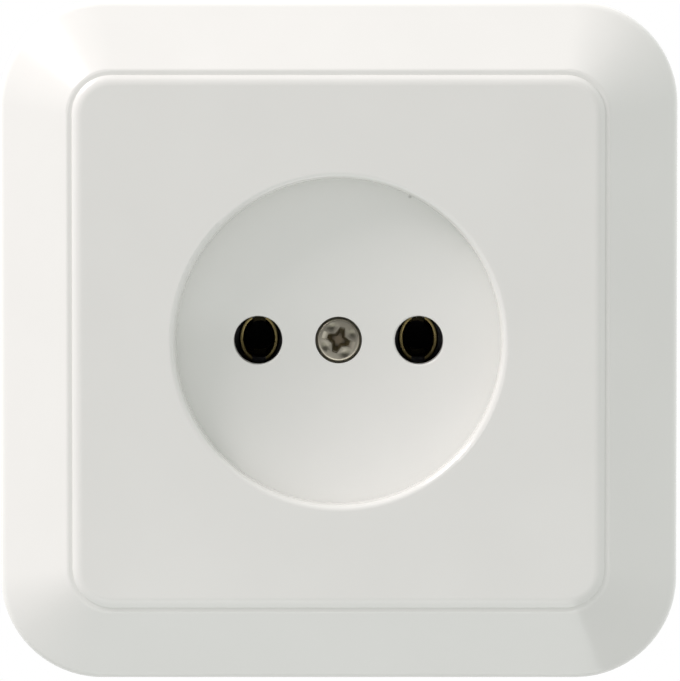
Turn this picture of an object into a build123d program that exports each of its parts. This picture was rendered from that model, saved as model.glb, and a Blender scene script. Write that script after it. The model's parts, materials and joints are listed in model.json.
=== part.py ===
from build123d import *
import os
from math import asin, atan2, cos, degrees, radians, sin, sqrt, tan

# Driving dimensions, in millimetres and degrees.
# X runs to the right, Z up and Y into the wall. The wall's surface is Y = 0, and the
# origin is the middle of the socket on that surface.

# Cover frame
FACE_WIDTH = 80.0           # outside of the square frame
FACE_CORNER = 12.0          # radius of its outer corners
EDGE_HEIGHT = 4.3           # straight edge, from the wall to the start of the slope
EDGE_ROUND = 1.4            # rounding between the straight edge and the slope
BEVEL_RUN = 8.2             # width of the sloping border, seen from the front
CREST_CORNER = 5.2          # corner radius where the slope ends
FRAME_WALL = 2.0            # wall of the frame, square to its surface
CREST_ROUND = 0.6           # rounding between the slope and the flat ledge
LEDGE = 0.6                 # flat strip of the frame that shows around the plate

# Cover plate
PROJECTION = 10.0           # wall to the front of the plate
FLANGE = 0.6                # edge of the plate, standing on the frame's ledge
PLATE_EDGE = 0.1            # straight part of that edge
PLATE_SLOPE = 0.6           # width of the sloping part above it, seen from the front
PLATE_ROUND = 1.6           # rounding between that slope and the face
LIP_OVERLAP = 1.8           # how far the plate lies over the frame's lip
FIT_GAP = 0.1               # plate's locating rim in the frame's opening
PLATE_WALL = 2.0            # thickness of the flat face
RIM_WALL = 1.5              # wall of the locating rim
RIM_DEPTH = 3.0             # how far the locating rim reaches behind the ledge

# Dish
DISH_RADIUS = 19.2          # mouth, before its edge is rounded
DISH_ROUND = 0.75           # rounding of the mouth
DISH_WALL_DEPTH = 3.2       # steep part below the mouth
DISH_WALL_SLOPE = 88.0      # steep part's slope
BOWL_DEPTH = 3.1            # shallow bowl below the steep part
FLOOR = 1.8                 # thickness of the bowl
PIN_PITCH = 19.0            # distance between the pin holes
PIN_HOLE = 5.7              # diameter of a pin hole
PIN_HOLE_ROUND = 0.25       # rounding of a pin hole's edge
COLLAR_WALL = 1.5           # wall of the collars and of the screw boss behind the bowl
COLLAR_STAND = 0.3          # how far the collars stand behind the bowl's lowest point

# Cover screw and nut
THREAD = 3.0                # diameter of the cover screw and of the claw screws
THREAD_GAP = 0.05           # radial gap between a screw and its nut or tapped hole
HOLE_GAP = 0.2              # radial gap between a screw and a clearance hole
HEAD = 5.0                  # diameter of the cover screw's head
HEAD_HEIGHT = 1.8
HEAD_GAP = 0.27             # radial gap around the sunk head
HEAD_SINK = 0.1             # head's top below the bowl's lowest point
SHOULDER = 1.5              # plate material under the head
NUT_WIDTH = 5.5
NUT_HEIGHT = 2.4
NUT_DISTANCE = 6.3          # base material between the screw boss and the nut
TIP_PAST_NUT = 1.5

# Screw drives: a cross recess with a straight slot through it
DRIVE_TURN = 19.0           # how far the cover screw's recess stands turned, clockwise
DRIVE_SHARE = 0.316         # tip of the cross from the middle, as a share of the head
DRIVE_DEPTH_SHARE = 0.6     # depth of the cross as a share of the head's height
DRIVE_ARM_SHARE = 0.18      # half the width of an arm's end, as a share of the arm
DRIVE_WAIST_SHARE = 0.4     # corner between two arms, as a share of the arm
DRIVE_FLOOR_SHARE = 0.5     # size of the cross at its floor, as a share of its mouth
SLOT_WIDTH = 0.85
SLOT_DEPTH = 0.5            # in the middle
SLOT_CUTTER_SHARE = 0.84    # radius of the round cutter that makes the slot, as a share of the head
DIMPLE_RADIUS = 1.2         # ball that presses the dimples between the arms
DIMPLE_DEPTH = 0.07
DIMPLE_RING_SHARE = 0.7     # dimples' distance from the middle, as a share of the head's radius
HEAD_ROUND = 0.25
TIP_CHAMFER_SHARE = 0.17    # chamfer of a screw's tip, as a share of its thread

# Base, contacts and springs
BASE_CORNER = 2.0           # upright edges
BASE_ROUND = 0.6            # edges of its rear face
BASE_WALL = 1.5             # side walls of the contact channels
END_WALL = 2.4              # base above and below the channels
FRONT_WALL = 3.2            # base's front wall, in front of the contact chambers
ENTRY_GAP = 0.25            # how much wider than a pin hole the base's entry is, radially
SLEEVE_GAP = 0.9            # front wall to the sleeve
SLEEVE_BORE = 3.5           # inside diameter of the split sleeve
SLEEVE_WALL = 0.6
SLEEVE_LIP = 2.0            # oval part of the sleeve, behind its mouth
MOUTH_WIDTH = 3.6           # inside of the mouth, across
MOUTH_HEIGHT = 4.9          # and up
SLEEVE_LENGTH = 12.5        # from its mouth to the strip
SLEEVE_SLIT = 1.6
SLIT_STOP = 2.0             # solid end of the sleeve, next to the strip
SLEEVE_ROUND_SHARE = 0.36   # rounding of the sleeve's mouth, as a share of its wall
SPRING_WALL = 0.6
SPRING_WIDTH = 3.0
SPRING_SET = 2.5            # spring behind the sleeve's mouth
SPRING_SLIT = 1.2
SEAT_GAP = 0.05             # spring on its sleeve
SPREAD_GAP = 0.8            # room around the spring for the sleeve to open
STRIP_WIDTH = 9.0
STRIP_THICKNESS = 1.0
STRIP_GAP = 0.1             # strip in its channel

# Terminals
TERMINAL_PITCH = 28.0       # distance between the two terminals of one contact
TERMINAL_THREAD = 3.5
TERMINAL_HEAD = 6.4
TERMINAL_HEAD_HEIGHT = 2.0
TERMINAL_REACH = 4.5        # screw in front of the strip's rear face
WIRE_ROOM = 1.8             # height of the wire channel under the clamp
CLAMP_THICKNESS = 1.0
CLAMP_LEG = 0.7
CLAMP_LENGTH = 6.0
WIRE_ENTRY = 7.2            # width of the opening for the wires
HEAD_COVER = 0.4            # terminal heads below the base's rear face

# Rear cover
REAR_THICKNESS = 2.0
REAR_CLEAR = 2.4            # rear cover to the terminal heads
REAR_GAP = 0.1
REAR_SCREW_MARGIN = 2.6     # its screws inside its upper and lower edges
RIB_WIDTH = 6.0             # ribs that press the contact strips down
RIB_THICKNESS = 2.0
RIB_MARGIN = 1.4            # ribs inside the upper and lower edges
REAR_THREAD = 2.2
REAR_HEAD = 4.0
REAR_HEAD_HEIGHT = 1.4
REAR_SCREW_LENGTH = 8.0

# Bracket, lugs and rivets
BRACKET = 1.2               # sheet thickness
BRACKET_CORNER = 8.0
BRACKET_GAP = 0.3           # around the base
BRACKET_CLEAR = 2.5         # to the frame's wall
BOX_PITCH = 60.0            # box screws, across and up
BOX_SLOT = 4.6              # width of their slots
BOX_SLOT_LENGTH = 7.0
LUG_WIDTH = 12.0
LUG_THICKNESS = 3.0
RIVET = 3.0
RIVET_HEAD = 5.4
RIVET_HEAD_HEIGHT = 0.8
RIVET_MARGIN = 0.3          # lug around the rivet's head

# Claws
CLAW_SHEET = 1.5
CLAW_WIDTH = 13.6
CLAW_TAPER = 2.3            # how much narrower the tip is, on each side
CLAW_SIDE_GAP = 0.2         # claw between its ears
CLAW_PIN = 2.0
CLAW_PIN_DEPTH = 4.2        # pin's axis behind the wall's surface
CLAW_PIN_HEAD = 2.7
CLAW_PIN_HEAD_HEIGHT = 0.5
CLAW_PIN_GAP = 0.06         # radial gap, claw on its pin
EAR_PIN_GAP = 0.03          # radial gap, pin in its ears
KNUCKLE_WALL = 1.24
KNUCKLE_ROOM = 0.7          # knuckle beside the base
EAR_MARGIN = 1.0            # ear around the pin's hole
CLAW_SWING = 25.0           # full swing, when the screw has drawn the lever forward
LEVER_END_TILT = 1.5        # lever at full swing, leaning back from the bracket
CLAW_SCREW_ROOM = 0.8       # claw screw beside the knuckle
ARM_ROOM = 3.8              # claw screw to the claw's arm, across
TIP_PAST_LEVER = 2.8        # claw screw behind the lever at rest
CLAW_SCREW_HEAD = 5.4
CLAW_SCREW_HEAD_HEIGHT = 2.0
LEVER_GAP = 0.25            # lever's long hole around the claw screw
ARM_LENGTH = 10.5
ARM_LEAN = 4.0              # arm leans in at rest
TIP_REACH = 2.2             # turned-out tip
TIP_TURN = 40.0
TOOTH_COUNT = 4
TOOTH_DEPTH = 1.0           # notch on either side of the tip's end
NOTCH_SHARE = 0.33          # half the width of a notch, as a share of the teeth's pitch

# Sizes that follow from those
CREST_WIDTH = FACE_WIDTH - 2 * BEVEL_RUN
CREST_Y = -(PROJECTION - FLANGE)
FACE_Y = -PROJECTION
PLATE_WIDTH = CREST_WIDTH - 2 * LEDGE
PLATE_CORNER = CREST_CORNER - LEDGE
FACE_SIDE = PLATE_WIDTH - 2 * PLATE_SLOPE
OPENING_WIDTH = PLATE_WIDTH - 2 * LIP_OVERLAP
OPENING_CORNER = PLATE_CORNER - LIP_OVERLAP
RIM_WIDTH = OPENING_WIDTH - 2 * FIT_GAP
RIM_CORNER = OPENING_CORNER - FIT_GAP

BOWL_RADIUS = DISH_RADIUS - DISH_WALL_DEPTH / tan(radians(DISH_WALL_SLOPE))
BOWL_SPHERE = (BOWL_RADIUS**2 + BOWL_DEPTH**2) / (2 * BOWL_DEPTH)
BOWL_EDGE_Y = FACE_Y + DISH_WALL_DEPTH
BOWL_Y = BOWL_EDGE_Y + BOWL_DEPTH
BOWL_CENTRE_Y = BOWL_Y - BOWL_SPHERE
COLLAR_RADIUS = PIN_HOLE / 2 + COLLAR_WALL
BASE_FRONT = BOWL_Y + FLOOR + COLLAR_STAND

HEAD_TOP = BOWL_Y + HEAD_SINK
HEAD_SEAT = HEAD_TOP + HEAD_HEIGHT
HEAD_POCKET = HEAD / 2 + HEAD_GAP
BOSS_RADIUS = HEAD_POCKET + COLLAR_WALL
BOSS_END = HEAD_SEAT + SHOULDER
NUT_FRONT = BOSS_END + NUT_DISTANCE
NUT_BACK = NUT_FRONT + NUT_HEIGHT

PIN_X = PIN_PITCH / 2
CHAMBER_FRONT = BASE_FRONT + FRONT_WALL
SLEEVE_FRONT = CHAMBER_FRONT + SLEEVE_GAP
SLEEVE_OUT = SLEEVE_BORE / 2 + SLEEVE_WALL
SPRING_IN = SLEEVE_OUT + SEAT_GAP
SPRING_OUT = SPRING_IN + SPRING_WALL
CHAMBER_RADIUS = SPRING_OUT + SPREAD_GAP
STRIP_FRONT = SLEEVE_FRONT + SLEEVE_LENGTH
STRIP_BACK = STRIP_FRONT + STRIP_THICKNESS
STRIP_TOP = (TERMINAL_PITCH + CLAMP_LENGTH) / 2
CHANNEL_HALF = STRIP_WIDTH / 2 + STRIP_GAP
CHANNEL_TOP = STRIP_TOP + STRIP_GAP
BASE_HALF = PIN_X + CHANNEL_HALF + BASE_WALL
BASE_TOP = CHANNEL_TOP + END_WALL

CLAMP_BACK = STRIP_BACK + WIRE_ROOM + CLAMP_THICKNESS
BASE_BACK = CLAMP_BACK + TERMINAL_HEAD_HEIGHT + HEAD_COVER
TERMINAL_Z = TERMINAL_PITCH / 2
REAR_FRONT = BASE_BACK - REAR_THICKNESS
REAR_TOP = TERMINAL_Z - TERMINAL_HEAD / 2 - REAR_CLEAR
REAR_SCREW_Z = REAR_TOP - REAR_SCREW_MARGIN
REAR_SEAT = BASE_BACK - REAR_HEAD_HEIGHT
RIB_Z = REAR_TOP - RIB_MARGIN - RIB_THICKNESS / 2

BRACKET_WIDTH = FACE_WIDTH - 2 * (FRAME_WALL + BRACKET_CLEAR)
RIVET_Z = BASE_TOP + RIVET_MARGIN + RIVET_HEAD / 2
LUG_TOP = RIVET_Z + RIVET_HEAD / 2 + RIVET_MARGIN

CLAW_BORE = CLAW_PIN / 2 + CLAW_PIN_GAP
KNUCKLE = CLAW_BORE + KNUCKLE_WALL
CLAW_PIN_X = BASE_HALF + KNUCKLE_ROOM + KNUCKLE
EAR_IN = CLAW_WIDTH / 2 + CLAW_SIDE_GAP
EAR_OUT = EAR_IN + BRACKET
EAR_HALF = CLAW_PIN / 2 + EAR_MARGIN
CLAW_SCREW_REACH = KNUCKLE + CLAW_SCREW_ROOM + THREAD / 2
CLAW_SCREW_X = CLAW_PIN_X + CLAW_SCREW_REACH
LEVER_TILT = CLAW_SWING + LEVER_END_TILT
LEVER_REACH = CLAW_SCREW_REACH + ARM_ROOM
CLAW_SCREW_END = CLAW_PIN_DEPTH + CLAW_SCREW_REACH * tan(radians(LEVER_TILT)) + TIP_PAST_LEVER
CLAW_TIP_WIDTH = CLAW_WIDTH - 2 * CLAW_TAPER
TOOTH_PITCH = CLAW_TIP_WIDTH / TOOTH_COUNT


def across(y):
    """Plane at depth y whose normal faces the room."""
    return Plane.XZ.offset(-y)


def rod(radius, front, back, x=0.0, z=0.0):
    """Round bar along Y."""
    return extrude(across(back) * Pos(x, z) * Circle(radius), back - front)


def block(x, y, z):
    """Box between pairs of coordinates."""
    middle = [(low + high) / 2 for low, high in (x, y, z)]
    size = [high - low for low, high in (x, y, z)]
    return Pos(*middle) * Box(*size)


def panel(width, height, corner):
    """Rectangle with round corners, or sharp ones where the walls leave no radius."""
    if corner > 0:
        return RectangleRounded(width, height, corner)
    return Rectangle(width, height)


def slab(width, height, corner, front, back):
    """Plate across Y with round corners."""
    return extrude(across(back) * panel(width, height, corner), back - front)


def slope(wide, wide_corner, wide_y, narrow, narrow_corner, narrow_y):
    """Solid between two round-cornered squares, with straight sides."""
    sections = [
        across(wide_y) * panel(wide, wide, wide_corner),
        across(narrow_y) * panel(narrow, narrow, narrow_corner),
    ]
    return loft(sections, ruled=True)


def edges_at(shape, y):
    """Edges that lie at depth y."""
    return [e for e in shape.edges() if all(abs(v.Y - y) < 1e-5 for v in e.vertices())]


def outer_ring(shape, y, half):
    """Edges at depth y that lie on or beyond a square's straight sides, with its corners."""
    ring = []
    for edge in edges_at(shape, y):
        middle = edge @ 0.5
        if max(abs(middle.X), abs(middle.Z)) > half:
            ring.append(edge)
    return ring


def cover_frame():
    """White frame: a straight edge, a flat slope and the lip that the plate clamps."""
    half = FACE_WIDTH / 2
    rise = -CREST_Y - EDGE_HEIGHT
    length = sqrt(BEVEL_RUN**2 + rise**2)
    inner_half = half - FRAME_WALL
    lip_back = CREST_Y + FRAME_WALL
    # the cavity's slope runs FRAME_WALL behind the outer one
    inset = FRAME_WALL * length / rise
    slope_start = EDGE_HEIGHT - (inset - FRAME_WALL) * rise / BEVEL_RUN
    lip_inset = half - inset - (-lip_back - EDGE_HEIGHT) * BEVEL_RUN / rise
    body = slab(FACE_WIDTH, FACE_WIDTH, FACE_CORNER, -EDGE_HEIGHT, 0)
    body += slope(FACE_WIDTH, FACE_CORNER, -EDGE_HEIGHT, CREST_WIDTH, CREST_CORNER, CREST_Y)
    body = fillet(outer_ring(body, -EDGE_HEIGHT, half - FACE_CORNER), EDGE_ROUND)
    body = fillet(edges_at(body, CREST_Y), CREST_ROUND)
    inner_corner = FACE_CORNER - FRAME_WALL
    body -= slab(2 * inner_half, 2 * inner_half, inner_corner, -slope_start, 0)
    body -= slope(2 * inner_half, inner_corner, -slope_start, 2 * lip_inset, CREST_CORNER, lip_back)
    body -= slab(OPENING_WIDTH, OPENING_WIDTH, OPENING_CORNER, CREST_Y, lip_back)
    return body


def bowl_point(angle, thickness=0.0):
    """Point of the bowl's section, at an angle from its axis."""
    radius = BOWL_SPHERE + thickness
    return (radius * sin(angle), BOWL_CENTRE_Y + radius * cos(angle))


def dish(thickness, mouth_y):
    """Solid of revolution: the dish's hollow, or its outer skin with a wall thickness."""
    angle = asin((BOWL_RADIUS + thickness) / (BOWL_SPHERE + thickness))
    edge = bowl_point(angle, thickness)
    mouth_radius = edge[0] + (edge[1] - mouth_y) / tan(radians(DISH_WALL_SLOPE))
    outline = [
        Line((0, mouth_y), (mouth_radius, mouth_y)),
        Line((mouth_radius, mouth_y), edge),
        ThreePointArc(edge, bowl_point(angle / 2, thickness), bowl_point(0, thickness)),
        Line(bowl_point(0, thickness), (0, mouth_y)),
    ]
    return revolve(make_face(outline), Axis.Y)


def round_edge(shape, radius, x, front, back):
    """Edges that run round a Y-wise hole at x, between two depths."""
    ring = []
    for edge in shape.edges():
        points = [edge @ share for share in (0, 0.25, 0.5, 0.75)]
        on_wall = all(abs(sqrt((p.X - x) ** 2 + p.Z**2) - radius) < 1e-4 for p in points)
        if on_wall and all(front < p.Y < back for p in points):
            ring.append(edge)
    return ring


def cover_plate():
    """White plate: flange over the frame's lip, locating rim, dish, collars and screw boss."""
    face_back = FACE_Y + PLATE_WALL
    rim_back = CREST_Y + RIM_DEPTH
    edge_y = CREST_Y - PLATE_EDGE
    body = slab(PLATE_WIDTH, PLATE_WIDTH, PLATE_CORNER, edge_y, CREST_Y)
    body += slope(PLATE_WIDTH, PLATE_CORNER, edge_y, FACE_SIDE, PLATE_CORNER - PLATE_SLOPE, FACE_Y)
    body = fillet(edges_at(body, FACE_Y), PLATE_ROUND)
    inner = RIM_WIDTH - 2 * RIM_WALL
    body += slab(RIM_WIDTH, RIM_WIDTH, RIM_CORNER, CREST_Y, rim_back)
    body -= slab(inner, inner, RIM_CORNER - RIM_WALL, face_back, rim_back)
    body += dish(FLOOR, face_back)
    for x in (-PIN_X, PIN_X):
        body += rod(COLLAR_RADIUS, BOWL_EDGE_Y, BASE_FRONT, x)
    body += rod(BOSS_RADIUS, BOWL_EDGE_Y, BOSS_END)
    body -= dish(0.0, FACE_Y - PLATE_WALL)
    mouth = round_edge(body, DISH_RADIUS, 0, FACE_Y - DISH_ROUND, FACE_Y + DISH_ROUND)
    body = fillet(mouth, DISH_ROUND)
    body -= rod(HEAD_POCKET, BOWL_EDGE_Y, HEAD_SEAT)
    body -= rod(THREAD / 2 + HOLE_GAP, HEAD_SEAT, BOSS_END)
    for x in (-PIN_X, PIN_X):
        body -= rod(PIN_HOLE / 2, BOWL_EDGE_Y, BASE_FRONT, x)
        edge = round_edge(body, PIN_HOLE / 2, x, BOWL_EDGE_Y, BOWL_Y)
        body = fillet(edge, PIN_HOLE_ROUND)
    return body


def drive_cutter(head, head_height, top, dimples):
    """Cross recess with a straight slot, pressed in from the front of a head along Y."""
    tip = head * DRIVE_SHARE
    depth = head_height * DRIVE_DEPTH_SHARE
    sections = []
    for y, share in ((top, 1.0), (top + depth, DRIVE_FLOOR_SHARE)):
        reach = tip * share
        arm = reach * DRIVE_ARM_SHARE
        waist = reach * DRIVE_WAIST_SHARE
        points = []
        for quarter in range(4):
            turn = radians(90 * quarter)
            for u, v in ((reach, -arm), (reach, arm), (waist, waist)):
                points.append((u * cos(turn) - v * sin(turn), u * sin(turn) + v * cos(turn)))
        sections.append(across(y) * make_face(Polyline(*points, close=True)))
    cutter = loft(sections, ruled=True)
    slot_radius = head * SLOT_CUTTER_SHARE
    cutter += Pos(0, top + SLOT_DEPTH - slot_radius, 0) * Cylinder(slot_radius, SLOT_WIDTH)
    if dimples:
        ring = head / 2 * DIMPLE_RING_SHARE
        for quarter in range(4):
            turn = radians(90 * quarter + 45)
            ball = Pos(ring * cos(turn), top - DIMPLE_RADIUS + DIMPLE_DEPTH, ring * sin(turn))
            cutter += ball * Sphere(DIMPLE_RADIUS)
    return cutter


def screw(thread, length, head, head_height, seat, turn=0.0, dimples=False):
    """Screw along Y whose head stands in front of its seat. The shank reaches behind it."""
    top = seat - head_height
    head_body = rod(head / 2, top, seat)
    head_body = fillet(edges_at(head_body, top), HEAD_ROUND)
    head_body -= Rot(0, turn, 0) * drive_cutter(head, head_height, top, dimples)
    shank = rod(thread / 2, seat, seat + length)
    shank = chamfer(edges_at(shank, seat + length), thread * TIP_CHAMFER_SHARE)
    return head_body + shank


def facing_back(shape, y):
    """Turn a screw round, so that its head faces the rear, about a seat at depth y."""
    return Pos(0, y, 0) * Rot(0, 0, 180) * Pos(0, -y, 0) * shape


def square_nut():
    """Square nut behind the base's middle column."""
    half = NUT_WIDTH / 2
    body = block((-half, half), (NUT_FRONT, NUT_BACK), (-half, half))
    return body - rod(THREAD / 2 + THREAD_GAP, NUT_FRONT, NUT_BACK)


def socket_base():
    """Black base: entries, contact chambers, strip channels, terminals, nut pocket and lugs."""
    body = slab(2 * BASE_HALF, 2 * BASE_TOP, BASE_CORNER, BASE_FRONT, BASE_BACK)
    body = fillet(edges_at(body, BASE_BACK), BASE_ROUND)
    half_lug = LUG_WIDTH / 2
    for ends in ((-LUG_TOP, -CHANNEL_TOP), (CHANNEL_TOP, LUG_TOP)):
        body += block((-half_lug, half_lug), (0, LUG_THICKNESS), ends)
    half_entry = WIRE_ENTRY / 2
    for x in (-PIN_X, PIN_X):
        body -= rod(PIN_HOLE / 2 + ENTRY_GAP, BASE_FRONT, CHAMBER_FRONT, x)
        body -= rod(CHAMBER_RADIUS, CHAMBER_FRONT, STRIP_FRONT, x)
        sides = (x - CHANNEL_HALF, x + CHANNEL_HALF)
        body -= block(sides, (STRIP_FRONT, BASE_BACK), (-CHANNEL_TOP, CHANNEL_TOP))
        body -= block((x - half_entry, x + half_entry), (STRIP_BACK, BASE_BACK), (-BASE_TOP, BASE_TOP))
        for z in (-TERMINAL_Z, TERMINAL_Z):
            pocket = STRIP_BACK - TERMINAL_REACH - HOLE_GAP
            body -= rod(TERMINAL_THREAD / 2 + HOLE_GAP, pocket, STRIP_FRONT, x, z)
    rear_top = REAR_TOP + REAR_GAP
    body -= block((-BASE_HALF, BASE_HALF), (REAR_FRONT, BASE_BACK), (-rear_top, rear_top))
    body -= rod(BOSS_RADIUS + HOLE_GAP, BASE_FRONT, BOSS_END)
    body -= rod(THREAD / 2 + HOLE_GAP, BOSS_END, NUT_FRONT)
    half_nut = NUT_WIDTH / 2 + STRIP_GAP
    body -= block((-half_nut, half_nut), (NUT_FRONT, REAR_FRONT), (-half_nut, half_nut))
    for z in (-REAR_SCREW_Z, REAR_SCREW_Z):
        tip = REAR_SEAT - REAR_SCREW_LENGTH - HOLE_GAP
        body -= rod(REAR_THREAD / 2 + THREAD_GAP, tip, REAR_FRONT, 0, z)
    for z in (-RIVET_Z, RIVET_Z):
        body -= rod(RIVET / 2 + THREAD_GAP, 0, LUG_THICKNESS, 0, z)
    return body


def rear_cover():
    """Black plate over the contact chambers, with ribs on the strips and two sunk screw heads."""
    body = block((-BASE_HALF, BASE_HALF), (REAR_FRONT, BASE_BACK), (-REAR_TOP, REAR_TOP))
    ends = [e for e in edges_at(body, BASE_BACK) if abs((e @ 0.5).X) > BASE_HALF - BASE_ROUND]
    body = fillet(ends, BASE_ROUND)
    for x in (-PIN_X, PIN_X):
        for z in (-RIB_Z, RIB_Z):
            sides = (x - RIB_WIDTH / 2, x + RIB_WIDTH / 2)
            ends = (z - RIB_THICKNESS / 2, z + RIB_THICKNESS / 2)
            body += block(sides, (STRIP_BACK, REAR_FRONT), ends)
    for z in (-REAR_SCREW_Z, REAR_SCREW_Z):
        body -= rod(REAR_HEAD / 2 + HOLE_GAP, REAR_SEAT, BASE_BACK, 0, z)
        body -= rod(REAR_THREAD / 2 + HOLE_GAP, REAR_FRONT, BASE_BACK, 0, z)
    return body


def sleeve(x, wall, back):
    """Room inside the sleeve, or its outside with the wall: an oval mouth, round behind the lip."""
    radius = SLEEVE_BORE / 2 + wall
    lip_back = SLEEVE_FRONT + SLEEVE_LIP
    mouth = Pos(x, 0) * Ellipse(MOUTH_WIDTH / 2 + wall, MOUTH_HEIGHT / 2 + wall)
    lip = loft([across(SLEEVE_FRONT) * mouth, across(lip_back) * Pos(x, 0) * Circle(radius)], ruled=True)
    return lip + rod(radius, lip_back, back, x)


def contact(x):
    """Brass contact: a split sleeve for the pin on a strip with two tapped holes."""
    half_strip = STRIP_WIDTH / 2
    half_slit = SLEEVE_SLIT / 2
    body = sleeve(x, SLEEVE_WALL, STRIP_FRONT)
    body += block((x - half_strip, x + half_strip), (STRIP_FRONT, STRIP_BACK), (-STRIP_TOP, STRIP_TOP))
    body -= sleeve(x, 0, STRIP_BACK)
    body = fillet(edges_at(body, SLEEVE_FRONT), SLEEVE_WALL * SLEEVE_ROUND_SHARE)
    slit_back = STRIP_FRONT - SLIT_STOP
    body -= block((x - half_slit, x + half_slit), (SLEEVE_FRONT, slit_back), (-MOUTH_HEIGHT, MOUTH_HEIGHT))
    for z in (-TERMINAL_Z, TERMINAL_Z):
        body -= rod(TERMINAL_THREAD / 2 + THREAD_GAP, STRIP_FRONT, STRIP_BACK, x, z)
    return body


def contact_spring(x):
    """Open steel ring that presses the sleeve's halves together."""
    front = SLEEVE_FRONT + SPRING_SET
    back = front + SPRING_WIDTH
    body = rod(SPRING_OUT, front, back, x) - rod(SPRING_IN, front, back, x)
    return body - block((x - SPRING_SLIT / 2, x + SPRING_SLIT / 2), (front, back), (0, SPRING_OUT))


def terminal_clamp(x, z):
    """Bridge on two legs, which the terminal screw draws onto the wires."""
    half = STRIP_WIDTH / 2 - STRIP_GAP
    half_length = CLAMP_LENGTH / 2
    low = CLAMP_BACK - CLAMP_THICKNESS
    ends = (z - half_length, z + half_length)
    body = block((x - half, x + half), (STRIP_BACK, CLAMP_BACK), ends)
    body -= block((x - half + CLAMP_LEG, x + half - CLAMP_LEG), (STRIP_BACK, low), ends)
    return body - rod(TERMINAL_THREAD / 2 + HOLE_GAP, low, CLAMP_BACK, x, z)


def terminal_screw(x, z):
    """Screw from the rear, through the clamp and into the strip."""
    length = CLAMP_BACK - STRIP_BACK + TERMINAL_REACH
    body = screw(TERMINAL_THREAD, length, TERMINAL_HEAD, TERMINAL_HEAD_HEIGHT, CLAMP_BACK)
    return Pos(x, 0, z) * facing_back(body, CLAMP_BACK)


def rear_cover_screw(z):
    """Small screw that holds the rear cover to the base's middle column."""
    body = screw(REAR_THREAD, REAR_SCREW_LENGTH, REAR_HEAD, REAR_HEAD_HEIGHT, REAR_SEAT)
    return Pos(0, 0, z) * facing_back(body, REAR_SEAT)


def mounting_bracket():
    """Steel plate on the wall with box-screw slots and bent ears for the claw pins."""
    body = slab(BRACKET_WIDTH, BRACKET_WIDTH, BRACKET_CORNER, -BRACKET, 0)
    opening_half = BASE_HALF + BRACKET_GAP
    opening_top = BASE_TOP + BRACKET_GAP
    body -= block((-opening_half, opening_half), (-BRACKET, 0), (-opening_top, opening_top))
    for x in (-BOX_PITCH / 2, BOX_PITCH / 2):
        body -= extrude(across(0) * Pos(x, 0) * SlotOverall(BOX_SLOT_LENGTH, BOX_SLOT), BRACKET)
        body -= extrude(across(0) * Pos(0, x) * SlotOverall(BOX_SLOT_LENGTH, BOX_SLOT, 90), BRACKET)
    for z in (-RIVET_Z, RIVET_Z):
        body -= rod(RIVET / 2 + THREAD_GAP, -BRACKET, 0, 0, z)
    for side in (-1, 1):
        x = side * CLAW_PIN_X
        window = sorted((0, x + side * EAR_HALF))
        body -= block(window, (-BRACKET, 0), (-EAR_IN, EAR_IN))
        body -= rod(THREAD / 2 + HOLE_GAP, -BRACKET, 0, side * CLAW_SCREW_X)
        for low in (-EAR_OUT, EAR_IN):
            ear = block((x - EAR_HALF, x + EAR_HALF), (-BRACKET, CLAW_PIN_DEPTH), (low, low + BRACKET))
            ear += Pos(x, CLAW_PIN_DEPTH, low + BRACKET / 2) * Cylinder(EAR_HALF, BRACKET)
            body += ear
            hole = Cylinder(CLAW_PIN / 2 + EAR_PIN_GAP, 2 * BRACKET)
            body -= Pos(x, CLAW_PIN_DEPTH, low + BRACKET / 2) * hole
    return body


def bracket_rivet(z):
    """Rivet through the bracket and a lug of the base."""
    front = -BRACKET - RIVET_HEAD_HEIGHT
    back = LUG_THICKNESS + RIVET_HEAD_HEIGHT
    body = rod(RIVET / 2, -BRACKET, LUG_THICKNESS, 0, z)
    body += fillet(edges_at(rod(RIVET_HEAD / 2, front, -BRACKET, 0, z), front), RIVET_HEAD_HEIGHT / 2)
    body += fillet(edges_at(rod(RIVET_HEAD / 2, LUG_THICKNESS, back, 0, z), back), RIVET_HEAD_HEIGHT / 2)
    return body


def bar(start, end, thickness):
    """Flat section of bent sheet between two points, with round ends."""
    run = Vector(*end) - Vector(*start)
    middle = (Vector(*start) + Vector(*end)) / 2
    turn = degrees(atan2(run.Y, run.X))
    return Pos(middle.X, middle.Y) * Rot(0, 0, turn) * SlotCenterToCenter(run.length, thickness)


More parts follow.
